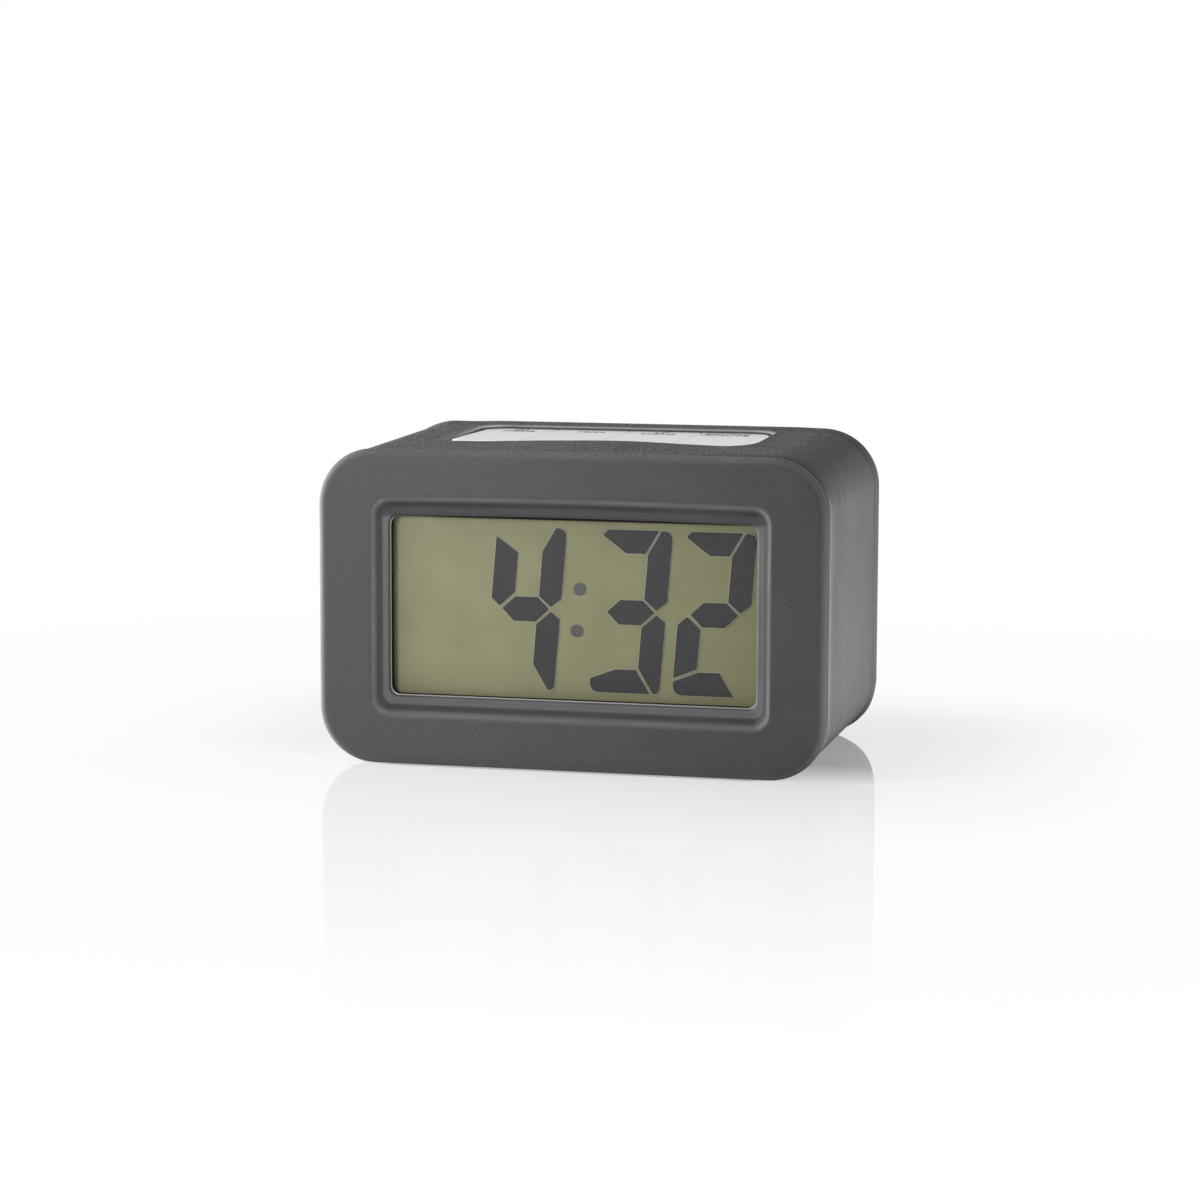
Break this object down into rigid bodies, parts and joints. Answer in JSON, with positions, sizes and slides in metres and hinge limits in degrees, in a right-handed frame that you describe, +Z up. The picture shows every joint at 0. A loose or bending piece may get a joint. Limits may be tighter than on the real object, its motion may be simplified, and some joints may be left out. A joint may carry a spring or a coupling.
{
  "type": "digital alarm clock",
  "caption": "Compact desk alarm clock: liquid crystal display in a rounded rubber sleeve, silver press keys in the top and a battery door at the back.",
  "frame": {"origin": "on the table, below the middle of the clock", "axes": "+X to the right as seen from the front, +Y from the display towards the back, +Z up"},
  "size_m": [0.1084, 0.0654, 0.0676],
  "materials": {
    "sleeve_rubber": "matte moulded silicone",
    "case_plastic": "fine spark texture",
    "window_clear": "clear acrylic",
    "display_glass": "satin polariser",
    "guide_plastic": "clear acrylic",
    "frame_plastic": "moulded",
    "connector_rubber": "layered elastomer",
    "led_body": "moulded",
    "circuit_board": "solder resist",
    "epoxy": "potting resin",
    "steel": "nickel plated",
    "ribbon": "flat cable",
    "black_plastic": "moulded",
    "key_silver": "satin silver",
    "cell_skin": "printed sleeve",
    "wire_red": "insulation",
    "wire_black": "insulation"
  },
  "bodies": {
    "clock_body": {"silicone_sleeve": "sleeve_rubber", "front_housing": "case_plastic", "rear_housing": "case_plastic", "display_window": "window_clear", "lcd_front_glass": "display_glass", "lcd_rear_glass": "display_glass", "light_guide": "guide_plastic", "lcd_frame": "frame_plastic", "zebra_strip_upper": "connector_rubber", "zebra_strip_lower": "connector_rubber", "backlight_led_left": "led_body", "backlight_led_right": "led_body", "main_board": "circuit_board", "chip_blob": "epoxy", "quartz_crystal": "steel", "ribbon_cable": "ribbon", "key_board": "circuit_board", "key_switch_1": "black_plastic", "key_switch_2": "black_plastic", "key_switch_3": "black_plastic", "key_switch_4": "black_plastic", "battery_upper": "cell_skin", "battery_lower": "cell_skin", "battery_spring_upper": "steel", "battery_spring_lower": "steel", "battery_contact_link": "steel", "battery_contact_upper": "steel", "battery_contact_lower": "steel", "battery_wire_red": "wire_red", "battery_wire_black": "wire_black", "buzzer": "black_plastic", "buzzer_wire_red": "wire_red", "buzzer_wire_black": "wire_black", "housing_screw_1": "steel", "housing_screw_2": "steel", "housing_screw_3": "steel", "housing_screw_4": "steel", "board_screw_1": "steel", "board_screw_2": "steel", "key_board_screw_1": "steel", "key_board_screw_2": "steel", "key_board_screw_3": "steel", "key_board_screw_4": "steel"},
    "key_1": {"top_key_1": "key_silver", "switch_plunger_1": "black_plastic"},
    "key_2": {"top_key_2": "key_silver", "switch_plunger_2": "black_plastic"},
    "key_3": {"top_key_3": "key_silver", "switch_plunger_3": "black_plastic"},
    "key_4": {"top_key_4": "key_silver", "switch_plunger_4": "black_plastic"},
    "door": {"battery_door": "case_plastic"}
  },
  "joints": [
    {"name": "key_1_press", "type": "slide", "parent": "clock_body", "child": "key_1", "axis": [0, 0, -1], "range_m": [0, 0.0008], "stiffness_N_per_m": 500},
    {"name": "key_2_press", "type": "slide", "parent": "clock_body", "child": "key_2", "axis": [0, 0, -1], "range_m": [0, 0.0008], "stiffness_N_per_m": 500},
    {"name": "key_3_press", "type": "slide", "parent": "clock_body", "child": "key_3", "axis": [0, 0, -1], "range_m": [0, 0.0008], "stiffness_N_per_m": 500},
    {"name": "key_4_press", "type": "slide", "parent": "clock_body", "child": "key_4", "axis": [0, 0, -1], "range_m": [0, 0.0008], "stiffness_N_per_m": 500},
    {"name": "battery_door_lift", "type": "slide", "parent": "clock_body", "child": "door", "axis": [0, 1, 0], "range_m": [0, 0.03]}
  ]
}
